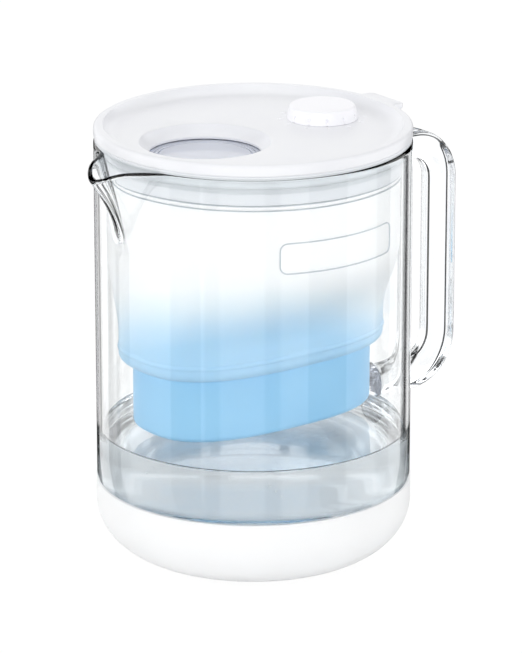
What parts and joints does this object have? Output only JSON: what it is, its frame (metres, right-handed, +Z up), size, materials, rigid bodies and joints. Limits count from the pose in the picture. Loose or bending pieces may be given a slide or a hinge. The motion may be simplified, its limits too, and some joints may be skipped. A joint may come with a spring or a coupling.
{
  "type": "water filter pitcher",
  "caption": "Straight-sided glass jug with pouring lip, glass loop handle and soft white boot; frosted drop-in funnel with oblong filter cartridge, dished lid with fill flap and month dial.",
  "frame": {"origin": "centre of the boot's flat underside, on the jug's axis", "axes": "+Z up, +X towards the handle, -X towards the pouring lip"},
  "size_m": [0.2113, 0.1508, 0.2126],
  "materials": {
    "glass": "clear polished borosilicate",
    "boot_silicone": "matte white silicone",
    "clear_silicone": "translucent grey silicone",
    "frosted_plastic": "frosted translucent, satin",
    "cartridge_plastic": "satin light blue",
    "felt": "pressed white felt",
    "mesh": "woven wire",
    "carbon": "black granules",
    "resin": "amber beads",
    "lid_plastic": "white, soft gloss",
    "clear_plastic": "clear, faint blue",
    "steel": "bright stainless"
  },
  "bodies": {
    "jug": {"glass_carafe": "glass", "glass_handle": "glass", "base_boot": "boot_silicone"},
    "funnel": {"funnel": "frosted_plastic", "rim_gasket": "clear_silicone"},
    "cartridge": {"filter_shell": "cartridge_plastic", "filter_cap": "cartridge_plastic", "filter_gasket": "clear_silicone", "inlet_screen": "mesh", "carbon_bed": "carbon", "divider_felt": "felt", "resin_bed": "resin", "outlet_screen": "felt"},
    "lid": {"lid": "lid_plastic", "lid_seal": "clear_silicone", "flap_pin": "steel", "flap_spring": "steel", "dial_washer": "steel"},
    "flap": {"fill_flap": "clear_plastic"},
    "dial": {"dial_knob": "lid_plastic", "dial_clip": "steel"}
  },
  "joints": [
    {"name": "funnel_lift", "type": "slide", "parent": "jug", "child": "funnel", "axis": [0, 0, 1], "range_m": [0, 0.14]},
    {"name": "cartridge_lift", "type": "slide", "parent": "funnel", "child": "cartridge", "axis": [0, 0, 1], "range_m": [0, 0.018]},
    {"name": "lid_lift", "type": "slide", "parent": "funnel", "child": "lid", "axis": [0, 0, 1], "range_m": [0, 0.08]},
    {"name": "flap_hinge", "type": "hinge", "parent": "lid", "child": "flap", "pos_m": [0.0046, 0, 0.1972], "axis": [0, -1, 0], "range_deg": [0, 65], "stiffness_Nm_per_rad": 0.01, "springref_deg": -22.92, "deforming": ["flap_spring"]},
    {"name": "dial_turn", "type": "hinge", "parent": "lid", "child": "dial", "pos_m": [0.041, 0, 0.2061], "axis": [0, 0, 1], "continuous": true}
  ]
}
